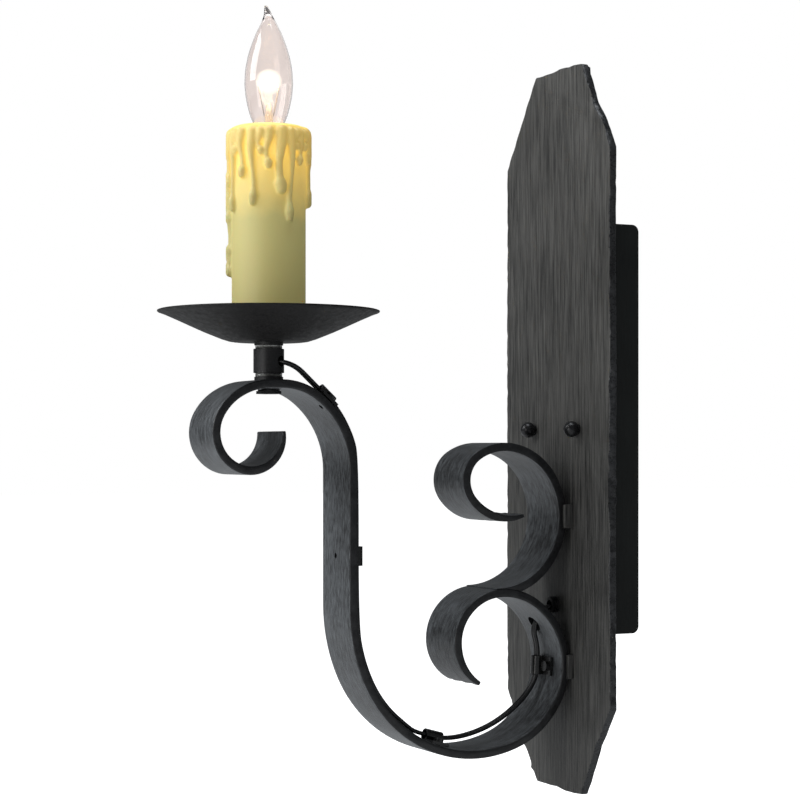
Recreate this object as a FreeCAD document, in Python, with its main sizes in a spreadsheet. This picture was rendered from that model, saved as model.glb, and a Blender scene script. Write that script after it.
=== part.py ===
import FreeCAD, Part
import math
import os
from FreeCAD import Vector, Placement, Rotation

# Electric wall sconce with a drip candle sleeve, in millimetres.
# The wall is the plane y = 0, the room is towards -Y, +Z is up and x = 0 is the plane of symmetry.
# z = 0 is the height of the two ball nuts, which is the middle of the backplate and of the wall box.

doc = FreeCAD.newDocument("wall_sconce")
sheet = doc.addObject("Spreadsheet::Sheet", "Sizes")

SIZES = [
    ("plate_thickness", 5.6, "forged backplate"),
    ("box_depth", 28.0, "wall box, front to wall"),
    ("box_width", 108.0, "wall box"),
    ("box_height", 277.0, "wall box"),
    ("box_wall", 1.2, "wall box sheet"),
    ("box_corner", 5.0, "rounded rear edges of the wall box"),
    ("strap_length", 101.0, "mounting strap"),
    ("strap_height", 19.0, "mounting strap"),
    ("strap_thickness", 2.4, "mounting strap"),
    ("slot_spacing", 88.9, "wall screws, centre to centre"),
    ("slot_end_to_end", 11.0, "wall screw slots"),
    ("slot_radius", 2.5, "half width of the slots"),
    ("stud_spacing", 60.0, "studs behind the ball nuts"),
    ("stud_radius", 2.05, "stud"),
    ("ball_radius", 5.5, "ball nuts"),
    ("bar_width", 44.4, "flat bar"),
    ("bar_thickness", 5.6, "flat bar"),
    ("bar_gap", 2.0, "the bar's path is drawn this far off the plate"),
    ("pan_radius", 72.3, "drip pan rim"),
    ("pan_floor_radius", 25.2, "flat floor of the drip pan"),
    ("pan_depth", 19.8, "floor to rim"),
    ("pan_wall", 1.4, "drip pan sheet"),
    ("pan_bottom", 56.0, "underside of the drip pan"),
    ("candle_reach", 248.6, "candle axis from the wall"),
    ("coupling_radius", 10.0, "turned coupling"),
    ("neck_radius", 8.6, "grooves of the coupling"),
    ("ring_radius", 9.4, "check rings"),
    ("ring_height", 2.1, "check rings"),
    ("tube_radius", 4.9, "1/8-IP threaded tube"),
    ("tube_bore", 3.7, "1/8-IP threaded tube"),
    ("sleeve_radius", 24.0, "candle sleeve"),
    ("sleeve_bore", 21.0, "candle sleeve"),
    ("sleeve_mouth", 17.2, "mouth of the candle sleeve"),
    ("sleeve_top", 196.0, "top of the candle sleeve"),
    ("cord_width", 5.6, "flat twin lead"),
    ("cord_thickness", 2.9, "flat twin lead"),
    ("clip_bore", 3.3, "cord clip"),
    ("clip_width", 12.7, "cord clip"),
    ("clip_sheet", 1.0, "cord clip"),
    ("clip_screw", 1.7, "clip screw shank radius"),
    ("shell_radius", 5.85, "screw shell of the bulb"),
]
for number, (alias, value, note) in enumerate(SIZES, 1):
    sheet.set("A%d" % number, note)
    sheet.set("B%d" % number, str(value))
    sheet.setAlias("B%d" % number, alias)
doc.recompute()


def size(alias):
    return float(sheet.get(alias))


FINISHED = []


def finished(item, node):
    item.Label = node
    FINISHED.append((node, item))
    return item


def place(x=0.0, y=0.0, z=0.0, axis=Vector(0, 0, 1), angle=0.0):
    return Placement(Vector(x, y, z), Rotation(axis, angle))


def bind(item, **expressions):
    for name, expression in expressions.items():
        item.setExpression(name, expression)
    return item


def plane_of(body, role):
    return [item for item in body.Origin.OriginFeatures if item.Role == role][0]


def sketch_on(body, role, name):
    sketch = body.newObject("Sketcher::SketchObject", name)
    sketch.AttachmentSupport = [(plane_of(body, role), "")]
    sketch.MapMode = "FlatFace"
    return sketch


def polygon(sketch, points):
    for first, second in zip(points, points[1:] + points[:1]):
        sketch.addGeometry(Part.LineSegment(Vector(*first, 0), Vector(*second, 0)), False)


def revolved(name, profile, where):
    """A body turned about its own Z axis from (radius, height) points."""
    body = doc.addObject("PartDesign::Body", name + "_body")
    sketch = sketch_on(body, "XZ_Plane", name + "_profile")
    polygon(sketch, profile)
    turn = body.newObject("PartDesign::Revolution", name + "_turn")
    turn.Profile = sketch
    turn.ReferenceAxis = (sketch, ["V_Axis"])
    turn.Angle = 360
    body.Placement = where
    doc.recompute()
    return body


def padded(name, role, points, length, where, both_ways=False):
    """A body padded from a closed outline on one of its origin planes."""
    body = doc.addObject("PartDesign::Body", name + "_body")
    sketch = sketch_on(body, role, name + "_outline")
    polygon(sketch, points)
    pad = body.newObject("PartDesign::Pad", name + "_pad")
    pad.Profile = sketch
    pad.setExpression("Length", length)
    if both_ways:
        pad.SideType = "Symmetric"
    body.Placement = where
    doc.recompute()
    return body


def cylinder(name, radius, height, where):
    item = doc.addObject("Part::Cylinder", name)
    bind(item, Radius=radius, Height=height)
    item.Placement = where
    return item


def block(name, length, width, height, where):
    item = doc.addObject("Part::Box", name)
    bind(item, Length=length, Width=width, Height=height)
    item.Placement = where
    return item


def cut(name, base, tools):
    item = base
    for number, tool in enumerate(tools, 1):
        step = doc.addObject("Part::Cut", "%s_cut%d" % (name, number))
        step.Base = item
        step.Tool = tool
        item = step
    doc.recompute()
    return item


def fuse(name, shapes):
    item = doc.addObject("Part::MultiFuse", name + "_fuse")
    item.Shapes = shapes
    doc.recompute()
    return item


def group(name, shapes):
    item = doc.addObject("Part::Compound", name + "_group")
    item.Links = shapes
    doc.recompute()
    return item


ALONG_Y = Rotation(Vector(1, 0, 0), -90)
AWAY_FROM_WALL = Rotation(Vector(1, 0, 0), 90)
plate_front = -(size("box_depth") + size("plate_thickness"))
bar_shift = plate_front - size("bar_gap")
candle_y = -size("candle_reach")


# ---- Backplate, wall box and what holds it to the wall ----

PLATE_TOP = [(-70.5, 188.0), (-28.5, 249.5), (-19.0, 249.0), (-6.0, 249.5), (5.0, 250.5), (17.0, 249.5),
             (24.0, 250.0), (35.0, 248.5), (42.0, 237.0), (49.0, 221.0), (59.0, 210.0), (67.0, 196.5), (72.0, 188.0)]
PLATE_RIGHT = [(71.0, 120.0), (72.0, 40.0), (71.0, -60.0), (71.5, -130.0)]
PLATE_BOTTOM = [(72.0, -187.5), (61.5, -203.0), (54.0, -213.5), (45.5, -230.0), (35.0, -249.0), (24.0, -250.0),
                (13.0, -249.5), (0.5, -248.5), (-13.0, -248.5), (-27.0, -249.0), (-38.5, -232.0),
                (-44.0, -226.0), (-63.0, -198.0), (-70.0, -187.0)]
PLATE_LEFT = [(-71.0, -120.0), (-70.5, -30.0), (-71.0, 60.0), (-70.5, 130.0)]
RELIEF_Z = -121.5

plate = padded("backplate", "XZ_Plane", PLATE_TOP + PLATE_RIGHT + PLATE_BOTTOM + PLATE_LEFT,
               "Sizes.plate_thickness", place(y=-size("box_depth")))
plate_holes = []
for side in (-1, 1):
    where = Placement(Vector(side * size("stud_spacing") / 2, -20, 0), AWAY_FROM_WALL)
    plate_holes.append(cylinder("plate_stud_hole%d" % (side + 2), "Sizes.stud_radius + 0.2", "20", where))
plate_holes.append(cylinder("plate_cord_hole", "4.8", "20",
                            Placement(Vector(0, -20, RELIEF_Z), AWAY_FROM_WALL)))
finished(cut("backplate", plate, plate_holes), "backplate")

half_width = size("box_width") / 2
half_height = size("box_height") / 2
box_body = doc.addObject("PartDesign::Body", "wall_box_body")
box_sketch = sketch_on(box_body, "XZ_Plane", "wall_box_outline")
polygon(box_sketch, [(-half_width, -half_height), (half_width, -half_height),
                     (half_width, half_height), (-half_width, half_height)])
box_pad = box_body.newObject("PartDesign::Pad", "wall_box_pad")
box_pad.Profile = box_sketch
bind(box_pad, Length="Sizes.box_depth")
doc.recompute()
rear_edges = []
for number, edge in enumerate(box_pad.Shape.Edges, 1):
    level = abs(edge.Vertexes[0].Z - edge.Vertexes[-1].Z) < 1e-6
    if level and all(abs(vertex.Y) < 1e-6 for vertex in edge.Vertexes):
        rear_edges.append("Edge%d" % number)
box_fillet = box_body.newObject("PartDesign::Fillet", "wall_box_rounding")
box_fillet.Base = (box_pad, rear_edges)
bind(box_fillet, Radius="Sizes.box_corner")
doc.recompute()
hollow = block("wall_box_hollow", "Sizes.box_width - 2 * Sizes.box_wall", "Sizes.box_depth",
               "Sizes.box_height - 2 * Sizes.box_corner",
               place(-half_width + size("box_wall"), -size("box_depth") - size("box_wall"),
                     -half_height + size("box_corner")))
hollow_tall = block("wall_box_front_hollow", "Sizes.box_width - 2 * Sizes.box_wall",
                    "Sizes.box_depth - Sizes.box_corner", "Sizes.box_height - 2 * Sizes.box_wall",
                    place(-half_width + size("box_wall"), -size("box_depth") - size("box_wall"),
                          -half_height + size("box_wall")))


def slot_cutters(name, depth_from, depth_to):
    cutters = []
    straight = size("slot_end_to_end") / 2 - size("slot_radius")
    length = "%g" % (depth_to - depth_from)
    for side in (-1, 1):
        x = side * size("slot_spacing") / 2
        for end in (-1, 1):
            where = Placement(Vector(x + end * straight, depth_from, 0), ALONG_Y)
            cutters.append(cylinder("%s_end%d%d" % (name, side + 2, end + 2), "Sizes.slot_radius", length, where))
        cutters.append(block("%s_mid%d" % (name, side + 2), "Sizes.slot_end_to_end - 2 * Sizes.slot_radius", length,
                             "2 * Sizes.slot_radius",
                             place(x - straight, depth_from, -size("slot_radius"))))
    return cutters


wire_hole = cylinder("wall_box_wire_hole", "11", "10", Placement(Vector(0, -5, 45), ALONG_Y))
box_tools = [hollow, hollow_tall, wire_hole] + slot_cutters("box_slot", -5, 5)
finished(cut("wall_box", box_body, box_tools), "wall_box")

strap_back = -size("box_wall")
strap_front = strap_back - size("strap_thickness")
strap = block("strap_blank", "Sizes.strap_length", "Sizes.strap_thickness", "Sizes.strap_height",
              place(-size("strap_length") / 2, strap_front, -size("strap_height") / 2))
strap_tools = slot_cutters("strap_slot", -8, 5)
for side in (-1, 1):
    where = Placement(Vector(side * size("stud_spacing") / 2, -8, 0), ALONG_Y)
    strap_tools.append(cylinder("strap_stud_hole%d" % (side + 2), "Sizes.stud_radius", "10", where))
strap_tools.append(cylinder("strap_ground_hole", "1.7", "10", Placement(Vector(0, -8, 5), ALONG_Y)))
finished(cut("mounting_strap", strap, strap_tools), "mounting_strap")

stud_end = plate_front - 5.0
studs = []
nuts = []
for side in (-1, 1):
    x = side * size("stud_spacing") / 2
    studs.append(cylinder("stud%d" % (side + 2), "Sizes.stud_radius", "%g" % (strap_back - stud_end),
                          Placement(Vector(x, strap_back, 0), AWAY_FROM_WALL)))
    hexagon = doc.addObject("Part::Prism", "stud_nut_hexagon%d" % (side + 2))
    hexagon.Polygon = 6
    bind(hexagon, Circumradius="4.4", Height="3.2")
    hexagon.Placement = Placement(Vector(x, strap_front, 0), AWAY_FROM_WALL)
    bore = cylinder("stud_nut_bore%d" % (side + 2), "Sizes.stud_radius", "20",
                    Placement(Vector(x, 0, 0), AWAY_FROM_WALL))
    nuts.append(cut("stud_nut%d" % (side + 2), hexagon, [bore]))
finished(group("strap_studs", studs), "strap_studs")
finished(group("strap_nuts", nuts), "strap_nuts")

ground_shank = cylinder("ground_shank", "1.65", "4", Placement(Vector(0, strap_back, 5), AWAY_FROM_WALL))
ground_head = cylinder("ground_head", "3.6", "2.2", Placement(Vector(0, strap_front, 5), AWAY_FROM_WALL))
finished(fuse("ground_screw", [ground_shank, ground_head]), "ground_screw")

for side, node in ((-1, "ball_nut_left"), (1, "ball_nut_right")):
    x = side * size("stud_spacing") / 2
    ball = doc.addObject("Part::Sphere", node + "_ball")
    bind(ball, Radius="Sizes.ball_radius")
    ball.Placement = place(x, plate_front - 4.9, 0)
    collar = cylinder(node + "_collar", "3.6", "2.5", Placement(Vector(x, plate_front - 0.02, 0), AWAY_FROM_WALL))
    flat = block(node + "_flat", "20", "10", "20", place(x - 10, plate_front - 0.02, -10))
    bore = cylinder(node + "_bore", "Sizes.stud_radius + 0.04", "6.4",
                    Placement(Vector(x, plate_front + 0.5, 0), AWAY_FROM_WALL))
    finished(cut(node, fuse(node, [ball, collar]), [flat, bore]), node)


# ---- The flat bars ----

def turtle(y, z, heading, runs):
    """Pieces (kind, start, end, centre, radius, heading, turn) along a path of straight runs and arcs."""
    pieces = []
    here = Vector(y, z, 0)
    angle = math.radians(heading)
    for run in runs:
        ahead = Vector(math.cos(angle), math.sin(angle), 0)
        left = Vector(-ahead.y, ahead.x, 0)
        if len(run) == 1:
            there = here + ahead * run[0]
            pieces.append(("line", here, there, None, 0.0, angle, 0.0))
        else:
            radius, turn = run[0], math.radians(run[1])
            side = 1.0 if turn > 0 else -1.0
            centre = here + left * (radius * side)
            spoke = here - centre
            there = centre + Vector(spoke.x * math.cos(turn) - spoke.y * math.sin(turn),
                                    spoke.x * math.sin(turn) + spoke.y * math.cos(turn), 0)
            pieces.append(("arc", here, there, centre, radius, angle, turn))
            angle += turn
        here = there
    return pieces


def shifted(point, angle, offset):
    return point + Vector(-math.sin(angle), math.cos(angle), 0) * offset


def strip(name, pieces, where):
    """A flat bar whose middle line runs along the pieces, in the YZ plane, as wide as the bar both ways."""
    body = doc.addObject("PartDesign::Body", name + "_body")
    sketch = sketch_on(body, "YZ_Plane", name + "_outline")
    half = size("bar_thickness") / 2
    for offset in (half, -half):
        for kind, start, end, centre, radius, angle, turn in pieces:
            first = shifted(start, angle, offset)
            last = shifted(end, angle + turn, offset)
            if kind == "line":
                edge = Part.LineSegment(first, last)
            else:
                middle = shifted(start, angle, offset) - centre
                half_turn = turn / 2
                point = centre + Vector(middle.x * math.cos(half_turn) - middle.y * math.sin(half_turn),
                                        middle.x * math.sin(half_turn) + middle.y * math.cos(half_turn), 0)
                edge = Part.Arc(first, point, last)
            sketch.addGeometry(edge, False)
    for piece, at_end in ((pieces[0], False), (pieces[-1], True)):
        point = piece[2] if at_end else piece[1]
        angle = piece[5] + (piece[6] if at_end else 0.0)
        sketch.addGeometry(Part.LineSegment(shifted(point, angle, half), shifted(point, angle, -half)), False)
    pad = body.newObject("PartDesign::Pad", name + "_pad")
    pad.Profile = sketch
    pad.setExpression("Length", "Sizes.bar_width")
    pad.SideType = "Symmetric"
    body.Placement = where
    doc.recompute()
    return body


def length_of(pieces):
    return sum((p[2] - p[1]).Length if p[0] == "line" else p[4] * abs(p[6]) for p in pieces)


# One bar makes the top scroll, the leg, the lower sweep and the lower scroll.
LEG_Y = -162.3
UP_RUNS = [(32.5,), (59.0, 55.0), (42.0, 35.0), (8.0,), (42.0, 33.0), (36.5, 27.0), (24.5, 100.0), (22.5, 117.0)]
DOWN_RUNS = [(57.5,), (118.5, 24.0), (89.0, 54.0), (88.0, 31.0), (61.5, 39.0), (50.5, 60.0), (54.5, 26.0),
             (44.5, 40.5), (34.5, 48.0), (31.5, 99.0)]
up_pieces = turtle(LEG_Y, -60.0, 90.0, UP_RUNS)
down_pieces = turtle(LEG_Y, -60.0, -90.0, DOWN_RUNS)
bar_place = place(y=bar_shift)
upper_bar = strip("upper_bar", up_pieces, bar_place)
lower_bar = strip("lower_bar", down_pieces, bar_place)
print("upper bar", round(upper_bar.Shape.Volume), "expected",
      round(length_of(up_pieces) * size("bar_width") * size("bar_thickness")))
print("lower bar", round(lower_bar.Shape.Volume), "expected",
      round(length_of(down_pieces) * size("bar_width") * size("bar_thickness")))
whole_bar = fuse("main_arm", [upper_bar, lower_bar])

C_RUNS = [(35.5, -70.0), (20.0, -97.0), (37.5, -41.0), (45.0, -53.0), (52.0, -31.5), (50.0, -88.0)]
c_pieces = turtle(-35.5, -58.5, 199.0, C_RUNS)
c_bar = strip("c_bar", c_pieces, bar_place)


def station(pieces, number, share, offset):
    """The point and the heading at a share of one piece, moved sideways by the offset."""
    kind, start, end, centre, radius, angle, turn = pieces[number]
    if kind == "line":
        return shifted(start + (end - start) * share, angle, offset), angle
    part = turn * share
    spoke = start - centre
    point = centre + Vector(spoke.x * math.cos(part) - spoke.y * math.sin(part),
                            spoke.x * math.sin(part) + spoke.y * math.cos(part), 0)
    return shifted(point, angle + part, offset), angle + part


def in_space(x, point):
    return Vector(x, point.x + bar_shift, point.y)


# Where the four clips sit: pieces, number of the piece, share along it, side of the bar, cord x, tab direction.
lift = size("bar_thickness") / 2 + size("clip_bore") + size("clip_sheet") + 0.5
CLIPS = [("cord_clip_top", up_pieces, 1, 0.86, -1, 7.0, 1),
         ("cord_clip_leg", up_pieces, 0, 0.0, -1, 9.0, -1),
         ("cord_clip_bottom", down_pieces, 2, 0.93, 1, -2.0, 1),
         ("cord_clip_wall", down_pieces, 5, 0.49, 1, -5.0, 1)]
clip_outer = size("clip_bore") + size("clip_sheet")
screw_places = []
clip_screws = []
clip_axes = {}
for node, pieces, number, share, side, cord_x, tab in CLIPS:
    point, angle = station(pieces, number, share, side * lift)
    if node == "cord_clip_leg":
        point = point - Vector(0, 24.0, 0)
    # Local axes: Z along the cord, Y away from the bar, X across it.
    away = Vector(0, -math.sin(angle) * side, math.cos(angle) * side)
    along = Vector(tab, 0, 0).cross(away)
    turned = Rotation(Vector(tab, 0, 0), away, along, "ZXY")
    where = Placement(in_space(cord_x, point), turned)
    clip_axes[node] = (where.Base, Vector(0, math.cos(angle), math.sin(angle)))
    half = size("clip_width") / 2
    ring = cylinder(node + "_ring", "Sizes.clip_bore + Sizes.clip_sheet", "Sizes.clip_width",
                    where * place(z=-half))
    foot = block(node + "_foot", "14.6", "2 * Sizes.clip_sheet", "Sizes.clip_width",
                 where * place(0, -clip_outer, -half))
    bore = cylinder(node + "_bore", "Sizes.clip_bore", "Sizes.clip_width + 4", where * place(z=-half - 2))
    screw_turn = Rotation(Vector(1, 0, 0), 90)
    hole = cylinder(node + "_hole", "2.1", "6", where * Placement(Vector(9.6, -clip_outer + 4, 0), screw_turn))
    finished(cut(node, fuse(node, [ring, foot]), [bore, hole]), node)
    head_at = -clip_outer + 2 * size("clip_sheet")
    shank = cylinder(node + "_shank", "Sizes.clip_screw", "7.3",
                     where * Placement(Vector(9.6, head_at, 0), screw_turn))
    head = cylinder(node + "_head", "3.5", "2.2",
                    where * Placement(Vector(9.6, head_at, 0), Rotation(Vector(1, 0, 0), -90)))
    clip_screws.append(fuse(node + "_screw", [shank, head]))
    screw_places.append(where * Placement(Vector(9.6, 4, 0), screw_turn))
finished(group("clip_screws", clip_screws), "clip_screws")

# Holes in the bar: the coupling's nipple, the clip screws and the cord.
arm_tools = [cylinder("arm_nipple_hole", "Sizes.tube_radius + 0.2", "24", place(0, candle_y, 16))]
for number, where in enumerate(screw_places, 1):
    arm_tools.append(cylinder("arm_screw_hole%d" % number, "Sizes.clip_screw + 0.15", "20", where))
cord_hole_point, cord_hole_angle = station(down_pieces, 6, 0.12, 0.0)
cord_turn = in_space(-3.0, cord_hole_point)
hole_direction = Vector(0, -math.sin(cord_hole_angle), math.cos(cord_hole_angle))
cord_hole = in_space(-2.5, station(down_pieces, 6, 0.22, 0.0)[0])
arm_tools.append(cylinder("arm_cord_hole", "5.8", "16",
                          Placement(cord_hole - hole_direction * 8, Rotation(Vector(0, 0, 1), hole_direction))))
finished(cut("main_arm", whole_bar, arm_tools), "main_arm")
finished(cut("upper_scroll", c_bar, [whole_bar]), "upper_scroll")

# Blocks that hold the two scrolls off the plate.
upper_block = block("upper_block", "50", "12", "16", place(-25, plate_front - 12, -67.6))
lower_block = block("lower_block", "50", "12", "16", place(-25, plate_front - 12, -170.6))
front_c, _ = station(c_pieces, 4, 1.0, 0.0)
front_a, _ = station(down_pieces, 5, 0.5, 0.0)
block_trim_c = block("upper_block_trim", "60", "30", "40",
                     place(-30, front_c.x + bar_shift - 30, -80))
block_trim_a = block("lower_block_trim", "60", "30", "40",
                     place(-30, front_a.x + bar_shift - 30, -183))
finished(cut("upper_standoff", upper_block, [block_trim_c, c_bar]), "upper_standoff")
finished(cut("lower_standoff", lower_block, [block_trim_a, whole_bar]), "lower_standoff")


# ---- Coupling, drip pan and socket ----

arm_top = max(point[1].y for point in up_pieces) + size("bar_thickness") / 2
axis_place = place(y=candle_y)
ring_top = arm_top + size("ring_height")
pan_bottom = size("pan_bottom")
upper_ring = pan_bottom - size("ring_height")
tube = size("tube_radius")
print("bar top", round(arm_top, 2), "pan bottom", pan_bottom)


def ring_profile(inner, outer, low, high):
    return [(inner, low), (outer, low), (outer, high), (inner, high)]


finished(revolved("lower_check_ring", ring_profile(tube + 0.1, size("ring_radius"), arm_top, ring_top),
                  axis_place), "lower_check_ring")
finished(revolved("upper_check_ring", ring_profile(tube + 0.1, size("ring_radius"), upper_ring, pan_bottom),
                  axis_place), "upper_check_ring")
neck = size("neck_radius")
wide = size("coupling_radius")
coupling = revolved("coupling", [(tube + 0.05, ring_top), (neck, ring_top), (neck, ring_top + 2.3), (wide, ring_top + 2.7),
                                 (wide, upper_ring - 2.5), (neck, upper_ring - 2.1), (neck, upper_ring),
                                 (tube + 0.05, upper_ring), (tube + 0.05, 49.0), (7.0, 49.0), (7.0, 38.0),
                                 (tube + 0.05, 38.0)], axis_place)
HOLE_TURN = 55.0
hole_ray = Vector(math.sin(math.radians(HOLE_TURN)), math.cos(math.radians(HOLE_TURN)), 0)
coupling_hole = cylinder("coupling_cord_hole", "3.6", "14",
                         Placement(Vector(0, candle_y, 43.5), Rotation(Vector(0, 0, 1), hole_ray)))
finished(cut("coupling", coupling, [coupling_hole]), "coupling")

arm_under = arm_top - size("bar_thickness")
finished(revolved("arm_nipple", ring_profile(size("tube_bore"), tube, arm_under - 3.4, 37.8), axis_place),
         "arm_nipple")


def hex_nut(node, low, high, across):
    hexagon = doc.addObject("Part::Prism", node + "_hexagon")
    hexagon.Polygon = 6
    bind(hexagon, Circumradius="%g" % (across / math.sqrt(3)), Height="%g" % (high - low))
    hexagon.Placement = place(0, candle_y, low)
    bore = cylinder(node + "_bore", "Sizes.tube_radius + 0.05", "40", place(0, candle_y, low - 5))
    return finished(cut(node, hexagon, [bore]), node)


finished(revolved("arm_washer", ring_profile(tube + 0.1, 7.2, arm_under - 1.5, arm_under - 0.6), axis_place),
         "arm_washer")
hex_nut("arm_nut", arm_under - 3.4, arm_under - 1.5, 14.3)

finished(revolved("riser_tube", ring_profile(size("tube_bore"), tube, 49.2, 158.0), axis_place), "riser_tube")
floor_r = size("pan_floor_radius")
rim_r = size("pan_radius")
rim_z = pan_bottom + size("pan_depth")
wall = size("pan_wall")
pan_profile = [(tube + 0.1, pan_bottom), (floor_r, pan_bottom), (42.0, 62.2), (58.0, 69.4), (rim_r - 0.5, rim_z - 0.6),
               (rim_r, rim_z), (rim_r - 0.9, rim_z + 0.9), (57.4, 70.9), (41.5, 63.8), (floor_r - 0.4, pan_bottom + wall),
               (tube + 0.1, pan_bottom + wall)]
finished(revolved("drip_pan", pan_profile, axis_place), "drip_pan")
hex_nut("pan_nut", pan_bottom + wall, pan_bottom + wall + 3.2, 14.3)

cup = [(tube + 0.05, 153.0), (8.0, 153.0), (10.6, 157.0), (10.6, 164.0), (9.8, 164.0), (9.8, 158.0), (tube + 0.05, 156.5)]
finished(revolved("socket_cup", cup, axis_place), "socket_cup")
body_profile = [(0.0, 160.0), (9.7, 160.0), (9.7, 186.2), (6.6, 186.2), (6.6, 166.5), (0.0, 166.5)]
finished(revolved("socket_body", body_profile, axis_place), "socket_body")
shell = size("shell_radius")
finished(revolved("socket_shell", ring_profile(shell + 0.06, 6.5, 170.5, 185.8), axis_place), "socket_shell")
finished(revolved("socket_contact", [(0.0, 166.6), (3.0, 166.6), (3.0, 167.4), (1.6, 169.6), (0.0, 169.6)], axis_place),
         "socket_contact")

sleeve = size("sleeve_radius")
bore = size("sleeve_bore")
mouth = size("sleeve_mouth")
top = size("sleeve_top")
sleeve_low = pan_bottom + wall + 0.02
sleeve_blank = revolved("candle_sleeve", [(bore, sleeve_low), (sleeve, sleeve_low), (sleeve, top - 1.2),
                                          (sleeve - 1.2, top), (mouth, top), (mouth, top - 3.0),
                                          (bore, top - 6.5)], axis_place)

# Runs of wax down the outside: direction about the axis, height of the lower end, half width.
WAX_RUNS = [(-116, 172.0, 4.2), (-100, 156.0, 3.4), (-84, 137.0, 3.0), (-65, 159.0, 3.2), (-46, 141.0, 3.0),
            (-23, 165.0, 3.2), (-4, 149.0, 4.0), (14, 132.0, 2.9), (34, 167.0, 3.2), (58, 173.0, 4.6),
            (76, 143.0, 3.8), (98, 158.0, 3.4), (121, 138.0, 3.2), (146, 166.0, 3.6), (170, 148.0, 3.2),
            (196, 163.0, 3.6), (220, 133.0, 3.2)]
wax = [sleeve_blank]
for number, (direction, low, half_run) in enumerate(WAX_RUNS, 1):
    out = max(sleeve - 0.2, bore + half_run + 0.3)
    x = math.cos(math.radians(direction)) * out
    y = candle_y + math.sin(math.radians(direction)) * out
    run = cylinder("wax_run%d" % number, "%g" % half_run, "%g" % (top - 1.6 - low - half_run),
                   place(x, y, low + half_run))
    drop = doc.addObject("Part::Cone", "wax_drop%d" % number)
    bind(drop, Radius1="%g" % (half_run * 0.4), Radius2="%g" % half_run, Height="%g" % half_run)
    drop.Placement = place(x, y, low)
    wax += [run, drop]
finished(fuse("candle_sleeve", wax), "candle_sleeve")


# ---- Bulb ----

finished(revolved("bulb_shell", [(shell - 0.5, 172.5), (shell, 172.5), (shell, 186.6), (7.7, 188.6), (7.7, 191.0),
                                 (7.2, 191.0), (7.2, 188.9), (shell - 0.5, 187.1)], axis_place), "bulb_shell")
finished(revolved("bulb_insulator", [(1.6, 171.2), (3.6, 171.2), (shell - 0.6, 172.8), (shell - 0.6, 174.0),
                                     (1.6, 174.0)], axis_place), "bulb_insulator")
finished(revolved("bulb_contact", [(0.0, 169.7), (1.5, 169.7), (1.5, 173.6), (0.0, 173.6)], axis_place), "bulb_contact")

GLASS = [(188.95, 6.6, 0.0), (191.5, 7.3, 0.0), (198.0, 10.4, 0.0), (207.5, 13.4, 0.0), (215.5, 15.2, 0.0),
         (223.5, 15.87, 0.0), (231.0, 15.55, 0.0), (239.5, 14.1, 0.0), (247.5, 11.8, 0.0), (256.0, 8.6, 0.2),
         (262.0, 5.7, 0.3), (268.0, 3.0, -0.2), (272.6, 1.7, -1.3), (274.7, 0.9, -2.0)]
GLASS_WALL = 0.8


def skin(name, sections, thinner, low_extra, high_trim):
    circles = []
    for number, (height, radius, lean) in enumerate(sections[:len(sections) - high_trim]):
        circle = doc.addObject("Part::Circle", "%s_%d" % (name, number))
        circle.Radius = radius - thinner
        circle.Placement = place(0, candle_y + lean, height - (low_extra if number == 0 else 0.0))
        circles.append(circle)
    loft = doc.addObject("Part::Loft", name)
    loft.Sections = circles
    loft.Solid = True
    loft.Ruled = False
    doc.recompute()
    return loft


finished(cut("bulb_envelope", skin("glass_outside", GLASS, 0.0, 0.0, 0),
             [skin("glass_inside", GLASS, GLASS_WALL, 0.4, 3)]), "bulb_envelope")
finished(revolved("bulb_stem", [(0.0, 181.0), (4.4, 181.0), (4.4, 189.6), (3.0, 196.0), (2.2, 207.0), (1.2, 211.0),
                                (0.0, 211.5)], axis_place), "bulb_stem")
wires = []
for side in (-1, 1):
    low = Vector(0, candle_y + side * 3.2, 203.0)
    high = Vector(0, candle_y + side * 7.2, 222.5)
    wire = cylinder("lead_wire%d" % (side + 2), "0.35", "%g" % (high - low).Length,
                    Placement(low, Rotation(Vector(0, 0, 1), high - low)))
    wires.append(wire)
finished(group("bulb_lead_wires", wires), "bulb_lead_wires")
filament_start = Vector(0, candle_y - 7.0, 222.95)
finished(cylinder("filament", "0.4", "14.0",
                  Placement(filament_start, Rotation(Vector(0, 0, 1), Vector(0, 1, 0)))), "bulb_filament")


# ---- Strain relief and cord ----

relief_body = cylinder("relief_flange", "5.9", "5.0", Placement(Vector(0, plate_front, RELIEF_Z), AWAY_FROM_WALL))
relief_neck = cylinder("relief_neck", "4.7", "10.0", Placement(Vector(0, plate_front + 9.0, RELIEF_Z), AWAY_FROM_WALL))
relief_lock = cylinder("relief_lock", "5.9", "2.0", Placement(Vector(0, plate_front + 8.6, RELIEF_Z), AWAY_FROM_WALL))
relief_bore = cylinder("relief_bore", "3.3", "30.0", Placement(Vector(0, plate_front + 12, RELIEF_Z), AWAY_FROM_WALL))
finished(cut("strain_relief", fuse("strain_relief", [relief_body, relief_neck, relief_lock]), [relief_bore]),
         "strain_relief")


def tangent_points(pieces, number, offset, x_from, x_to, parts):
    """Corners of the polygon whose sides touch one arc of the path, moved sideways by the offset."""
    kind, start, end, centre, radius, angle, turn = pieces[number]
    corners = []
    step = turn / parts
    for index in range(parts):
        share = (index + 0.5) / parts
        point, _ = station(pieces, number, share, offset)
        spoke = point - centre
        corner = centre + spoke * (1.0 / math.cos(step / 2))
        corners.append(in_space(x_from + (x_to - x_from) * share, corner))
    return corners


def through_clip(node, first, second):
    """Two points on a clip's own axis, so that the lead runs straight through it."""
    centre, along = clip_axes[node]
    return [centre + along * first, centre + along * second]


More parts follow.
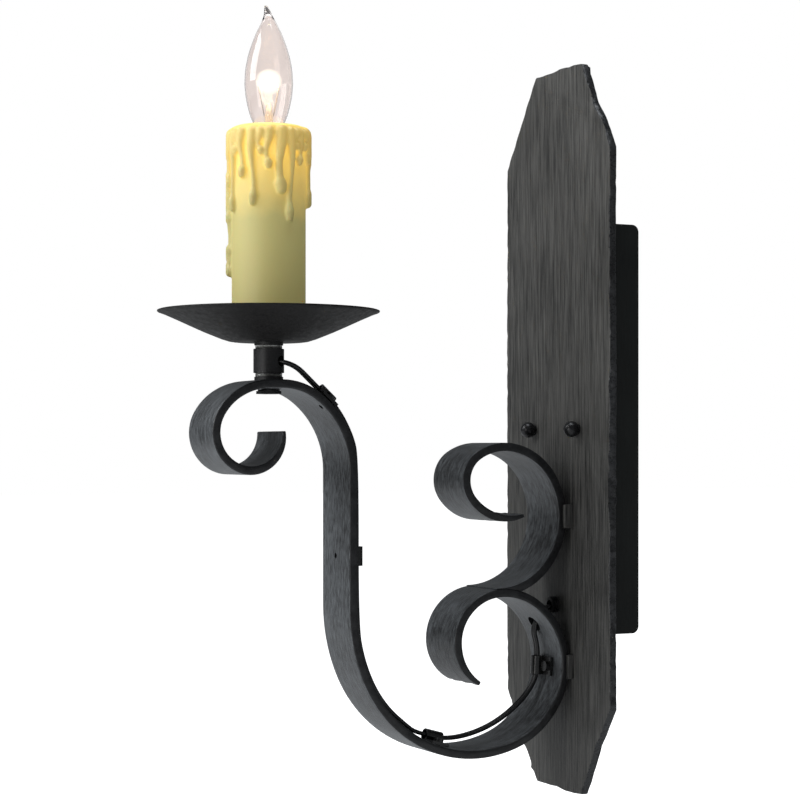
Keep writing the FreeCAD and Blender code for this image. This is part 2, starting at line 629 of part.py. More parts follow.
cord_path = [Vector(0, candle_y, 43.5) + hole_ray * 3.0, Vector(0, candle_y, 43.5) + hole_ray * 17.0]
top_corners = tangent_points(up_pieces, 1, -lift, 9.0, 7.0, 4)
cord_path += through_clip("cord_clip_top", 11.0, -11.0)
cord_path += [top_corners[1], top_corners[0]]
cord_path += tangent_points(down_pieces, 1, lift, 9.0, 7.0, 2)
cord_path += tangent_points(down_pieces, 2, lift, 7.0, -2.0, 4)[:3]
cord_path += through_clip("cord_clip_bottom", -14.0, 14.0)
cord_path += [in_space(-3.0, Vector(-42.0, -202.0, 0))]
cord_path += through_clip("cord_clip_wall", -14.0, 13.0)
cord_path += [cord_turn + hole_direction * 6.0, Vector(-1.5, plate_front - 9.0, RELIEF_Z - 3.0),
              Vector(0, plate_front - 2.0, RELIEF_Z), Vector(0, plate_front + 9.2, RELIEF_Z)]


LONGEST_EASE = 7.5


def rounded_path(points):
    """Straight runs joined by tangent arcs, each starting at most LONGEST_EASE before its corner."""
    edges = []
    start = points[0]
    smallest = 1e9
    for index in range(1, len(points) - 1):
        before = points[index - 1] - points[index]
        after = points[index + 1] - points[index]
        turn = math.pi - before.getAngle(after)
        reach = min(0.45 * min(before.Length, after.Length), LONGEST_EASE)
        radius = reach / math.tan(turn / 2)
        smallest = min(smallest, radius)
        enter = points[index] + before.normalize() * reach
        leave = points[index] + after.normalize() * reach
        inward = (before + after).normalize()
        middle = points[index] + inward * (radius / math.cos(turn / 2) - radius)
        edges.append(Part.LineSegment(start, enter).toShape())
        edges.append(Part.Arc(enter, middle, leave).toShape())
        print("cord bend", index, "radius", round(radius, 1))
        start = leave
    edges.append(Part.LineSegment(start, points[-1]).toShape())
    print("smallest cord bend", round(smallest, 1))
    return Part.Wire(edges)


cord_route = rounded_path(cord_path)
half_flat = (size("cord_width") - size("cord_thickness")) / 2
half_thick = size("cord_thickness") / 2
section_edges = [Part.LineSegment(Vector(-half_flat, half_thick, 0), Vector(half_flat, half_thick, 0)).toShape(),
                 Part.Arc(Vector(half_flat, half_thick, 0), Vector(half_flat + half_thick, 0, 0),
                          Vector(half_flat, -half_thick, 0)).toShape(),
                 Part.LineSegment(Vector(half_flat, -half_thick, 0), Vector(-half_flat, -half_thick, 0)).toShape(),
                 Part.Arc(Vector(-half_flat, -half_thick, 0), Vector(-half_flat - half_thick, 0, 0),
                          Vector(-half_flat, half_thick, 0)).toShape()]
section = Part.Wire(section_edges)
first_run = (cord_path[1] - cord_path[0]).normalize()
flat_way = Vector(0, 0, 1).cross(first_run)
section.Placement = Placement(cord_path[0], Rotation(flat_way, Vector(0, 0, 1), first_run, "ZXY"))
cord_shape = cord_route.makePipeShell([section], True, False)
section_area = math.pi * half_thick ** 2 + 2 * half_flat * size("cord_thickness")
print("cord volume", round(cord_shape.Volume), "expected", round(cord_route.Length * section_area),
      "length", round(cord_route.Length))
cord = doc.addObject("Part::Feature", "power_cord_sweep")
cord.Shape = cord_shape
cord.Placement = Placement(Vector(0, 0, 0), Rotation())
finished(cord, "power_cord")

# The lead splits behind the plate into two insulated wires, each ending in a twist-on connector.
lead_solids = []
connector_solids = []
for side in (-1, 1):
    first = Vector(side * 1.45, plate_front + 9.6, RELIEF_Z)
    bend = Vector(side * 2.4, plate_front + 17.0, RELIEF_Z)
    corner = Vector(side * 12.0, plate_front + 20.0, RELIEF_Z + 14.0)
    last = Vector(side * 14.0, plate_front + 19.0, RELIEF_Z + 52.0)
    wire_path = rounded_path([first, bend, corner, last])
    disc = Part.Wire(Part.Circle(Vector(), Vector(0, 0, 1), 1.3).toShape())
    disc.Placement = Placement(first, Rotation(Vector(0, 0, 1), bend - first))
    lead = doc.addObject("Part::Feature", "box_lead%d" % (side + 2))
    lead.Shape = wire_path.makePipeShell([disc], True, False)
    lead_solids.append(lead)
    cone = doc.addObject("Part::Cone", "connector_cone%d" % (side + 2))
    bind(cone, Radius1="5.5", Radius2="3.2", Height="20")
    cone.Placement = Placement(last - Vector(0, 0, 4), Rotation())
    socket = cylinder("connector_socket%d" % (side + 2), "3.6", "8", Placement(last - Vector(0, 0, 6), Rotation()))
    connector_solids.append(cut("connector%d" % (side + 2), cone, [socket]))
finished(group("box_leads", lead_solids), "box_leads")
finished(group("wire_nuts", connector_solids), "wire_nuts")


# ---- Check and write ----

doc.recompute()
for item in doc.Objects:
    if "Invalid" in item.State or "Error" in item.State:
        raise RuntimeError("bad object: " + item.Label)
os.makedirs("parts", exist_ok=True)
for node, item in FINISHED:
    shape = item.Shape
    if shape.isNull() or not shape.isValid():
        raise RuntimeError("bad shape: " + node)
    if len(shape.Solids) < 1:
        raise RuntimeError("no solid: " + node)
    shape.exportStep("parts/%s.step" % node)
    box = shape.BoundBox
    print("%-18s solids %d volume %9.1f  x %.1f..%.1f y %.1f..%.1f z %.1f..%.1f" % (
        node, len(shape.Solids), shape.Volume, box.XMin, box.XMax, box.YMin, box.YMax, box.ZMin, box.ZMax))
print(len(FINISHED), "nodes")
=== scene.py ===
# %% [markdown]
# # A wrought-iron wall sconce, dressed for its portrait
# The working model is already made and packed: a forged plate, a scrolled flat bar, a drip pan, a candle
# sleeve and a lit candelabra bulb, all in metres and in their real places. This lesson loads that model,
# keeps the pieces whose shape is right, and remakes the ones that a plain solid cannot show: soft forged
# edges, runs of wax, thin blown glass, a ribbed bushing and a twin lead. Every piece gets its own finish.

import math

import bmesh
import bpy
from mathutils import Matrix, Vector


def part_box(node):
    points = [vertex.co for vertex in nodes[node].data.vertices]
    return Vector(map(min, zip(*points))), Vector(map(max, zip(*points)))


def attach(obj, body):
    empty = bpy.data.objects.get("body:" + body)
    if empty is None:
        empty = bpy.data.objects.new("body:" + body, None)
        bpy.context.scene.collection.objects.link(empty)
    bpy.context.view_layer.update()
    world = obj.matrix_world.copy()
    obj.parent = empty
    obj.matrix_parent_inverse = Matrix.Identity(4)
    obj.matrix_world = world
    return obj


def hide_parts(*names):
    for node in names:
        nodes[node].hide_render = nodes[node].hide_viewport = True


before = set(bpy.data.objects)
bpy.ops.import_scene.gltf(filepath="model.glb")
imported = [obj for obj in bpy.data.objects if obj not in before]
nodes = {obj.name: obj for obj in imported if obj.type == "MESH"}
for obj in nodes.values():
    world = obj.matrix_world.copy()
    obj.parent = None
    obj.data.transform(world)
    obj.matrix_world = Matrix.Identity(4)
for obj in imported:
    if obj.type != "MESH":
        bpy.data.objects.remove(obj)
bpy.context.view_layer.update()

# %% [markdown]
# A few short helpers carry most of the work. The first smooths the shading but leaves real corners crisp.
# The second turns a finished bmesh into an object that sits at the origin. The third spins a profile about
# an upright axis, which is how a lathe, a spinning chuck or a glass blower makes a round piece.

# %% Helpers: shade a piece, make a piece, spin a piece


def shade(mesh, degrees=35.0):
    for face in mesh.polygons:
        face.use_smooth = True
    mesh.set_sharp_from_angle(angle=math.radians(degrees))


def piece_from(bm, name, body, replaces=(), degrees=35.0):
    mesh = bpy.data.meshes.new(name)
    bm.to_mesh(mesh)
    bm.free()
    shade(mesh, degrees)
    piece = bpy.data.objects.new(name, mesh)
    bpy.context.collection.objects.link(piece)
    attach(piece, body)
    if replaces:
        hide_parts(*replaces)
    print(name, len(mesh.polygons), "faces")
    return piece


def spin_profile(profile, axis_x, axis_y, steps=96, closed=True):
    """Spins (radius, height) points about an upright axis. A closed profile gives a solid ring."""
    bm = bmesh.new()
    points = [bm.verts.new((axis_x + r, axis_y, z)) for r, z in profile]
    edges = [bm.edges.new(pair) for pair in zip(points, points[1:])]
    if closed:
        edges.append(bm.edges.new((points[-1], points[0])))
    bmesh.ops.spin(bm, geom=points + edges, cent=(axis_x, axis_y, 0), axis=(0, 0, 1), angle=2 * math.pi,
                   steps=steps, use_merge=True)
    bmesh.ops.remove_doubles(bm, verts=bm.verts, dist=1e-6)
    bmesh.ops.recalc_face_normals(bm, faces=bm.faces)
    return bm


def middle_of(node):
    low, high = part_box(node)
    return [(a + b) / 2 for a, b in zip(low, high)]


candle_x, candle_y = middle_of("riser_tube")[:2]
print("candle axis", round(candle_x, 4), round(candle_y, 4))

# %% [markdown]
# ## Finishes
# Forged iron is never one grey. It has fine drawn grain, a slow change of tone from the fire, and small
# dents that break up a reflection. All three come from noise read in object coordinates, so the pattern
# stays with the piece. The recipe is one node group with a knob for each thing that changes, so painted and
# moulded parts use it too, with finer, weaker marks.

# %% Helper: the shared grain, as a node group
KNOBS = [("Grain", "NodeSocketVector"), ("Slow Share", "NodeSocketFloat"), ("Low", "NodeSocketFloat"),
         ("High", "NodeSocketFloat"), ("Dark", "NodeSocketColor"), ("Light", "NodeSocketColor"),
         ("Smoothest", "NodeSocketFloat"), ("Roughest", "NodeSocketFloat"), ("Relief", "NodeSocketFloat"),
         ("Dents", "NodeSocketFloat"), ("Dent Scale", "NodeSocketFloat")]


def worn_grain_group():
    group = bpy.data.node_groups.new("worn_grain", "ShaderNodeTree")
    for name, kind in KNOBS:
        group.interface.new_socket(name=name, in_out="INPUT", socket_type=kind)
    for name, kind in (("Color", "NodeSocketColor"), ("Roughness", "NodeSocketFloat"),
                       ("Normal", "NodeSocketVector")):
        group.interface.new_socket(name=name, in_out="OUTPUT", socket_type=kind)
    knob = group.nodes.new("NodeGroupInput")
    result = group.nodes.new("NodeGroupOutput")
    place = group.nodes.new("ShaderNodeTexCoord")
    stretch = group.nodes.new("ShaderNodeMapping")
    group.links.new(place.outputs["Object"], stretch.inputs["Vector"])
    group.links.new(knob.outputs["Grain"], stretch.inputs["Scale"])
    fine = group.nodes.new("ShaderNodeTexNoise")
    fine.inputs["Scale"].default_value = 12.0
    fine.inputs["Detail"].default_value = 6.0
    fine.inputs["Roughness"].default_value = 0.65
    group.links.new(stretch.outputs["Vector"], fine.inputs["Vector"])
    slow = group.nodes.new("ShaderNodeTexNoise")
    slow.inputs["Scale"].default_value = 14.0
    slow.inputs["Detail"].default_value = 3.0
    group.links.new(place.outputs["Object"], slow.inputs["Vector"])
    blend = group.nodes.new("ShaderNodeMix")
    blend.data_type = "FLOAT"
    group.links.new(knob.outputs["Slow Share"], blend.inputs["Factor"])
    group.links.new(fine.outputs["Fac"], blend.inputs["A"])
    group.links.new(slow.outputs["Fac"], blend.inputs["B"])
    level = group.nodes.new("ShaderNodeMapRange")
    group.links.new(blend.outputs["Result"], level.inputs["Value"])
    group.links.new(knob.outputs["Low"], level.inputs["From Min"])
    group.links.new(knob.outputs["High"], level.inputs["From Max"])
    colour = group.nodes.new("ShaderNodeMix")
    colour.data_type = "RGBA"
    group.links.new(level.outputs["Result"], colour.inputs["Factor"])
    group.links.new(knob.outputs["Dark"], colour.inputs[6])
    group.links.new(knob.outputs["Light"], colour.inputs[7])
    group.links.new(colour.outputs[2], result.inputs["Color"])
    spread = group.nodes.new("ShaderNodeMapRange")
    spread.inputs["From Min"].default_value = 0.3
    spread.inputs["From Max"].default_value = 0.7
    group.links.new(knob.outputs["Smoothest"], spread.inputs["To Min"])
    group.links.new(knob.outputs["Roughest"], spread.inputs["To Max"])
    group.links.new(fine.outputs["Fac"], spread.inputs["Value"])
    group.links.new(spread.outputs["Result"], result.inputs["Roughness"])
    lift = group.nodes.new("ShaderNodeBump")
    lift.inputs["Distance"].default_value = 0.0006
    group.links.new(knob.outputs["Relief"], lift.inputs["Strength"])
    group.links.new(fine.outputs["Fac"], lift.inputs["Height"])
    hammer = group.nodes.new("ShaderNodeTexVoronoi")
    hammer.feature = "SMOOTH_F1"
    hammer.inputs["Smoothness"].default_value = 0.6
    group.links.new(knob.outputs["Dent Scale"], hammer.inputs["Scale"])
    group.links.new(place.outputs["Object"], hammer.inputs["Vector"])
    deep = group.nodes.new("ShaderNodeBump")
    deep.inputs["Distance"].default_value = 0.0015
    group.links.new(knob.outputs["Dents"], deep.inputs["Strength"])
    group.links.new(hammer.outputs["Distance"], deep.inputs["Height"])
    group.links.new(lift.outputs["Normal"], deep.inputs["Normal"])
    group.links.new(deep.outputs["Normal"], result.inputs["Normal"])
    return group


worn_grain = worn_grain_group()
print("shared grain with", len(KNOBS), "knobs")

# %% Helper: one finish, from the shared grain


def finish_material(name, dark, light, rough=(0.4, 0.6), metallic=0.0, grain=(60.0, 60.0, 60.0), dents=0.0,
                    dent_scale=90.0, bump=0.15, coat=0.0, specular=0.5, slow_share=0.45, spread_of=0.17):
    mat = bpy.data.materials.new(name)
    mat.use_nodes = True
    tree = mat.node_tree
    shader = tree.nodes["Principled BSDF"]
    shader.inputs["Metallic"].default_value = metallic
    shader.inputs["Specular IOR Level"].default_value = specular
    shader.inputs["Coat Weight"].default_value = coat
    wear = tree.nodes.new("ShaderNodeGroup")
    wear.node_tree = worn_grain
    settings = (grain, slow_share, 0.5 - spread_of, 0.5 + spread_of, (*dark, 1), (*light, 1),
                rough[0], rough[1], bump, dents, dent_scale)
    for (knob, kind), value in zip(KNOBS, settings):
        wear.inputs[knob].default_value = value
    tree.links.new(wear.outputs["Color"], shader.inputs["Base Color"])
    tree.links.new(wear.outputs["Roughness"], shader.inputs["Roughness"])
    tree.links.new(wear.outputs["Normal"], shader.inputs["Normal"])
    return mat


plate_iron = finish_material("plate_iron", (0.014, 0.014, 0.0135), (0.112, 0.110, 0.104), rough=(0.42, 0.66),
                             metallic=0.1, grain=(110.0, 110.0, 2.6), dents=0.10, dent_scale=45.0, bump=0.5,
                             specular=0.3, slow_share=0.16, spread_of=0.12)
edge_iron = finish_material("edge_iron", (0.006, 0.006, 0.0065), (0.055, 0.057, 0.060), rough=(0.20, 0.38),
                            metallic=0.3, grain=(30.0, 30.0, 30.0), dents=0.9, dent_scale=130.0, bump=0.4)
bar_iron = finish_material("bar_iron", (0.017, 0.018, 0.0195), (0.145, 0.156, 0.166), rough=(0.30, 0.50),
                           metallic=0.4, grain=(45.0, 12.0, 12.0), dents=0.26, dent_scale=60.0, bump=0.6,
                           slow_share=0.35, spread_of=0.11)
# A darker copy of the bar finish for the bar's narrow sides: painted shade, keeping the sides dark as if
# turned away from the light.
painted_shade_side_iron = finish_material("painted_shade_side_iron", (0.006, 0.006, 0.0065), (0.022, 0.023, 0.025), rough=(0.32, 0.5),
                            metallic=0.2, grain=(30.0, 30.0, 30.0), dents=0.5, dent_scale=110.0, bump=0.3)
box_paint = finish_material("box_paint", (0.008, 0.009, 0.0085), (0.020, 0.022, 0.021), rough=(0.5, 0.7),
                            grain=(90.0, 90.0, 6.0), specular=0.2, bump=0.2)
pan_iron = finish_material("pan_iron", (0.005, 0.005, 0.005), (0.013, 0.012, 0.012), rough=(0.45, 0.7),
                           metallic=0.05, grain=(20.0, 20.0, 40.0), dents=0.10, dent_scale=110.0, bump=0.25,
                           specular=0.25)
fitting_black = finish_material("fitting_black", (0.010, 0.010, 0.011), (0.022, 0.022, 0.023),
                                rough=(0.3, 0.5), metallic=0.4, grain=(8.0, 8.0, 90.0), bump=0.25)
zinc = finish_material("zinc", (0.46, 0.46, 0.44), (0.62, 0.62, 0.60), rough=(0.3, 0.45), metallic=1.0,
                       bump=0.1)
ball_black = finish_material("ball_black", (0.012, 0.012, 0.013), (0.02, 0.02, 0.022), rough=(0.22, 0.36),
                             metallic=0.5, bump=0.08)
green_screw = finish_material("green_screw", (0.02, 0.13, 0.04), (0.03, 0.2, 0.06), rough=(0.3, 0.45),
                              metallic=0.5, bump=0.1)
clip_black = finish_material("clip_black", (0.005, 0.005, 0.005), (0.010, 0.010, 0.010), rough=(0.18, 0.3),
                             metallic=0.1, bump=0.1, coat=0.3)
cord_black = finish_material("cord_black", (0.004, 0.004, 0.0045), (0.008, 0.008, 0.009), rough=(0.25, 0.4),
                             bump=0.12)
relief_black = finish_material("relief_black", (0.008, 0.008, 0.009), (0.013, 0.013, 0.014),
                               rough=(0.35, 0.5), bump=0.1)
wire_grey = finish_material("wire_grey", (0.25, 0.25, 0.25), (0.34, 0.34, 0.34), rough=(0.45, 0.6), bump=0.1)
twist_orange = finish_material("twist_orange", (0.62, 0.18, 0.02), (0.78, 0.27, 0.04), rough=(0.35, 0.5),
                               bump=0.15)
socket_black = finish_material("socket_black", (0.012, 0.012, 0.012), (0.022, 0.02, 0.02), rough=(0.25, 0.4),
                               bump=0.08)
brass = finish_material("brass", (0.55, 0.36, 0.12), (0.75, 0.54, 0.22), rough=(0.2, 0.35), metallic=1.0,
                        bump=0.08)
shell_metal = finish_material("shell_metal", (0.6, 0.6, 0.6), (0.75, 0.75, 0.75), rough=(0.18, 0.3),
                              metallic=1.0, grain=(8.0, 8.0, 80.0), bump=0.1)
insulator_glass = finish_material("insulator_glass", (0.01, 0.01, 0.015), (0.02, 0.02, 0.03),
                                  rough=(0.12, 0.2), bump=0.05)
stem_glass = finish_material("stem_glass", (0.80, 0.76, 0.73), (0.90, 0.86, 0.83), rough=(0.18, 0.3),
                             bump=0.05)
stem_glass.node_tree.nodes["Principled BSDF"].inputs["Transmission Weight"].default_value = 0.6
lead_steel = finish_material("lead_steel", (0.25, 0.22, 0.2), (0.4, 0.36, 0.33), rough=(0.3, 0.4),
                             metallic=1.0, bump=0.05)
print("finishes", len(bpy.data.materials))

# %% [markdown]
# The wax look of the sleeve is a khaki cream with a painted amber glow near the top: an emission that
# stands in for the bulb's light through the wax. The colour comes from the height up the sleeve. The glow is
# painted light that fades downwards to a faint glow on the lower body, painted stronger between the runs,
# nearer the axis, than where a run stands proud.

# %% Finish of the sleeve
sleeve_low, sleeve_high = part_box("candle_sleeve")
wax = bpy.data.materials.new("wax_cream")
wax.use_nodes = True
tree = wax.node_tree
shader = tree.nodes["Principled BSDF"]
place = tree.nodes.new("ShaderNodeTexCoord")
split = tree.nodes.new("ShaderNodeSeparateXYZ")
tree.links.new(place.outputs["Object"], split.inputs["Vector"])
mottle = tree.nodes.new("ShaderNodeTexNoise")
mottle.inputs["Scale"].default_value = 70.0
mottle.inputs["Detail"].default_value = 5.0
tree.links.new(place.outputs["Object"], mottle.inputs["Vector"])
height = tree.nodes.new("ShaderNodeMapRange")
height.inputs["From Min"].default_value = sleeve_low[2]
height.inputs["From Max"].default_value = sleeve_high[2]
tree.links.new(split.outputs["Z"], height.inputs["Value"])
wander = tree.nodes.new("ShaderNodeMath")
wander.operation = "MULTIPLY_ADD"
wander.inputs[1].default_value = 0.10
tree.links.new(mottle.outputs["Fac"], wander.inputs[0])
tree.links.new(height.outputs["Result"], wander.inputs[2])
tone = tree.nodes.new("ShaderNodeValToRGB")
tone.color_ramp.elements[0].position = 0.1
tone.color_ramp.elements[0].color = (0.56, 0.50, 0.205, 1)
tone.color_ramp.elements[1].position = 0.98
tone.color_ramp.elements[1].color = (0.74, 0.61, 0.24, 1)
middle_tone = tone.color_ramp.elements.new(0.62)
middle_tone.color = (0.62, 0.55, 0.22, 1)
tree.links.new(wander.outputs["Value"], tone.inputs["Fac"])
tree.links.new(tone.outputs["Color"], shader.inputs["Base Color"])
offset = tree.nodes.new("ShaderNodeVectorMath")
offset.operation = "MULTIPLY_ADD"
offset.inputs[1].default_value = (1.0, 1.0, 0.0)
offset.inputs[2].default_value = (-candle_x, -candle_y, 0.0)
tree.links.new(place.outputs["Object"], offset.inputs[0])
out_from_axis = tree.nodes.new("ShaderNodeVectorMath")
out_from_axis.operation = "LENGTH"
tree.links.new(offset.outputs["Vector"], out_from_axis.inputs[0])
# Painted light: the glow is painted full near the sleeve's own surface, between the runs, and weaker on a run
# that stands proud.
painted_glow_between_runs = tree.nodes.new("ShaderNodeMapRange")
painted_glow_between_runs.inputs["From Min"].default_value = 0.0242
painted_glow_between_runs.inputs["From Max"].default_value = 0.0262
painted_glow_between_runs.inputs["To Min"].default_value = 1.0
painted_glow_between_runs.inputs["To Max"].default_value = 0.34
tree.links.new(out_from_axis.outputs["Value"], painted_glow_between_runs.inputs["Value"])
# The painted bulb glow: amber near the top, a faint khaki glow lower down.
glow = tree.nodes.new("ShaderNodeValToRGB")
glow.color_ramp.elements[0].position = 0.60
glow.color_ramp.elements[0].color = (0.10, 0.088, 0.030, 1)
glow.color_ramp.elements[1].position = 1.02
glow.color_ramp.elements[1].color = (0.80, 0.47, 0.06, 1)
tree.links.new(wander.outputs["Value"], glow.inputs["Fac"])
through = tree.nodes.new("ShaderNodeMix")
through.data_type = "RGBA"
through.inputs[6].default_value = (0.0, 0.0, 0.0, 1)
tree.links.new(painted_glow_between_runs.outputs["Result"], through.inputs["Factor"])
tree.links.new(glow.outputs["Color"], through.inputs[7])
# The emission on the wax is painted light from the bulb.
tree.links.new(through.outputs[2], shader.inputs["Emission Color"])
shader.inputs["Emission Strength"].default_value = 1.0
shader.inputs["Subsurface Weight"].default_value = 0.15
shader.inputs["Subsurface Scale"].default_value = 0.003
ripple = tree.nodes.new("ShaderNodeBump")
ripple.inputs["Strength"].default_value = 0.25
ripple.inputs["Distance"].default_value = 0.0008
tree.links.new(mottle.outputs["Fac"], ripple.inputs["Height"])
tree.links.new(ripple.outputs["Normal"], shader.inputs["Normal"])
gloss = tree.nodes.new("ShaderNodeMapRange")
gloss.inputs["To Min"].default_value = 0.38
gloss.inputs["To Max"].default_value = 0.62
tree.links.new(mottle.outputs["Fac"], gloss.inputs["Value"])
tree.links.new(gloss.outputs["Result"], shader.inputs["Roughness"])
print("wax from", round(sleeve_low[2], 3), "to", round(sleeve_high[2], 3))

# %% [markdown]
# Clear blown glass is a transmitting skin less than a millimetre thick. Very faint waves in its surface keep
# the reflections from looking machined. The hot wire inside is simply a bright warm emitter.

# %% Finish of the glass and of the hot wire
clear_glass = bpy.data.materials.new("clear_glass")
clear_glass.use_nodes = True
tree = clear_glass.node_tree
shader = tree.nodes["Principled BSDF"]
shader.inputs["Base Color"].default_value = (0.90, 0.84, 0.815, 1)
shader.inputs["Transmission Weight"].default_value = 1.0
shader.inputs["IOR"].default_value = 1.45
shader.inputs["Roughness"].default_value = 0.02
place = tree.nodes.new("ShaderNodeTexCoord")
waves = tree.nodes.new("ShaderNodeTexNoise")
waves.inputs["Scale"].default_value = 60.0
tree.links.new(place.outputs["Object"], waves.inputs["Vector"])
ripple = tree.nodes.new("ShaderNodeBump")
ripple.inputs["Strength"].default_value = 0.04
ripple.inputs["Distance"].default_value = 0.0005
tree.links.new(waves.outputs["Fac"], ripple.inputs["Height"])
tree.links.new(ripple.outputs["Normal"], shader.inputs["Normal"])

hot_wire = bpy.data.materials.new("hot_wire")
hot_wire.use_nodes = True
tree = hot_wire.node_tree
shader = tree.nodes["Principled BSDF"]
place = tree.nodes.new("ShaderNodeTexCoord")
turns = tree.nodes.new("ShaderNodeTexNoise")
turns.inputs["Scale"].default_value = 400.0
tree.links.new(place.outputs["Object"], turns.inputs["Vector"])
heat = tree.nodes.new("ShaderNodeValToRGB")
heat.color_ramp.elements[0].color = (1.0, 0.80, 0.50, 1)
heat.color_ramp.elements[1].color = (1.0, 0.93, 0.78, 1)
tree.links.new(turns.outputs["Fac"], heat.inputs["Fac"])
tree.links.new(heat.outputs["Color"], shader.inputs["Emission Color"])
shader.inputs["Emission Strength"].default_value = 40.0
print("glass and wire ready")

# %% [markdown]
# ## Dressing the pieces that keep their shape
# The box, nuts, tubes, clips and socket are already right. Each one only needs its finish, so a short
# table pairs every finish with the pieces that wear it.

# %% Give the kept pieces their finishes
WORN_BY = {
    box_paint: ["wall_box"],
    zinc: ["mounting_strap", "strap_studs", "strap_nuts", "riser_tube", "pan_nut", "socket_cup"],
    fitting_black: ["coupling", "lower_check_ring", "upper_check_ring", "arm_nipple", "arm_washer",
                    "arm_nut"],
    ball_black: ["ball_nut_left", "ball_nut_right"],
    green_screw: ["ground_screw"],
    clip_black: ["cord_clip_top", "cord_clip_leg", "cord_clip_bottom", "cord_clip_wall", "clip_screws"],
    wire_grey: ["box_leads"],
    twist_orange: ["wire_nuts"],
    socket_black: ["socket_body"],
    brass: ["socket_shell", "socket_contact", "bulb_contact"],
    shell_metal: ["bulb_shell"],
    insulator_glass: ["bulb_insulator"],
    stem_glass: ["bulb_stem"],
    lead_steel: ["bulb_lead_wires"],
}
for material, names in WORN_BY.items():
    for name in names:
        nodes[name].data.materials.clear()
        nodes[name].data.materials.append(material)
print("dressed", sum(len(names) for names in WORN_BY.values()), "pieces")

# %% [markdown]
# ## Forged plate and bars
# A smith's hammer leaves no knife edges. The solids have them, so each is copied, its loose triangles are
# merged into whole faces, and its long corners are bevelled. Only the corners that run along the bar's
# two sides are taken, because a bevel that reached the small screw holes would be clamped everywhere. The
# three free ends are drawn out thinner, as a smith does before curling them.

# %% Soft forged edges
side_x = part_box("main_arm")[1][0]


def whole_faces(node):
    bm = bmesh.new()
    bm.from_mesh(nodes[node].data)
    bmesh.ops.remove_doubles(bm, verts=bm.verts, dist=2e-6)
    bmesh.ops.dissolve_limit(bm, angle_limit=math.radians(1.0), verts=bm.verts, edges=bm.edges)
    return bm


def soften_corners(bm, wanted, width, segments=3):
    corners = [e for e in bm.edges if len(e.link_faces) == 2 and e.calc_face_angle(0.0) > math.radians(40)
               and all(wanted(v.co) for v in e.verts)]
    bmesh.ops.bevel(bm, geom=corners, offset=width, offset_type="OFFSET", segments=segments, profile=0.5,
                    affect="EDGES", material=-1, clamp_overlap=True)


def hammer_tip(bm, centre_y, centre_z, radius, end_angle, span, thin):
    """Thins the end of a curl towards its tip. Angles are in degrees about the curl's centre."""
    for vert in bm.verts:
        dy, dz = vert.co.y - centre_y, vert.co.z - centre_z
        away = math.hypot(dy, dz)
        if abs(away - radius) > 0.004:
            continue
        apart = abs((math.degrees(math.atan2(dz, dy)) - end_angle + 180) % 360 - 180)
        if apart < span:
            share = (1 - apart / span) ** 1.5
            ragged = 0.0009 * math.sin(vert.co.x * 420) * share
            keep = 1 - thin * share
            scale = (radius + (away - radius) * keep + ragged * 0.3) / away
            vert.co.y = centre_y + dy * scale
            vert.co.z = centre_z + dz * scale


def cut_width(bm, cuts):
    """Slices a bar lengthwise, so that its broad faces have something to bend."""
    for number in range(1, cuts):
        x = -side_x + 2 * side_x * number / cuts
        bmesh.ops.bisect_plane(bm, geom=bm.verts[:] + bm.edges[:] + bm.faces[:], plane_co=(x, 0, 0),
                               plane_no=(1, 0, 0))


def dress(bm, name, node, material):
    """Makes the piece that stands for a node, with nothing outside that node's own box."""
    low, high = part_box(node)
    for vert in bm.verts:
        vert.co = [min(max(at, least), most) for at, least, most in zip(vert.co, low, high)]
    piece = piece_from(bm, name, "frame", replaces=(node,))
    piece.data.materials.clear()
    piece.data.materials.append(material)
    # Bar pieces get the darker copy on every face that points along x, the bar's narrow sides: painted shade.
    if material is bar_iron:
        piece.data.materials.append(painted_shade_side_iron)
        for face in piece.data.polygons:
            if abs(face.normal.x) > 0.35:
                face.material_index = 1
    return piece


def on_side(p):
    return abs(abs(p.x) - side_x) < 1e-4


# Each curl: its centre's y and z, its radius, and the angle of its tip.
TOP_CURL = (-0.2692, -0.0048, 0.0225, 7.0)
LOW_CURL = (-0.0894, -0.1433, 0.0315, 241.5)
INNER_CURL = (-0.0827, -0.0249, 0.0355, -71.0)
WORN_EDGE = 0.0011

arm = whole_faces("main_arm")
soften_corners(arm, on_side, WORN_EDGE)
cut_width(arm, 9)
hammer_tip(arm, *TOP_CURL, span=95, thin=0.62)
hammer_tip(arm, *LOW_CURL, span=55, thin=0.5)
dress(arm, "arm_forged", "main_arm", bar_iron)

scroll = whole_faces("upper_scroll")
soften_corners(scroll, on_side, WORN_EDGE)
cut_width(scroll, 7)
hammer_tip(scroll, *INNER_CURL, span=48, thin=0.6)
dress(scroll, "scroll_forged", "upper_scroll", bar_iron)

for node in ("upper_standoff", "lower_standoff"):
    stub = whole_faces(node)
    soften_corners(stub, lambda p: True, 0.0004)
    dress(stub, node + "_soft", node, plate_iron)

# %% [markdown]
# The plate's edge was cut hot and then hammered, so its outline wanders by under a millimetre and its
# edge face is a row of small bright dents. The long sides are divided, every outline point is nudged a
# little inwards, and the front corner gets a worn bevel. The edge faces take a rougher finish of their own.

# %% Ragged plate
plate = whole_faces("backplate")
plate_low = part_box("backplate")[0]


def far_from_holes(p):
    return min((p.xz - Vector(hole)).length for hole in ((-0.03, 0), (0.03, 0), (0, -0.1215))) > 0.008


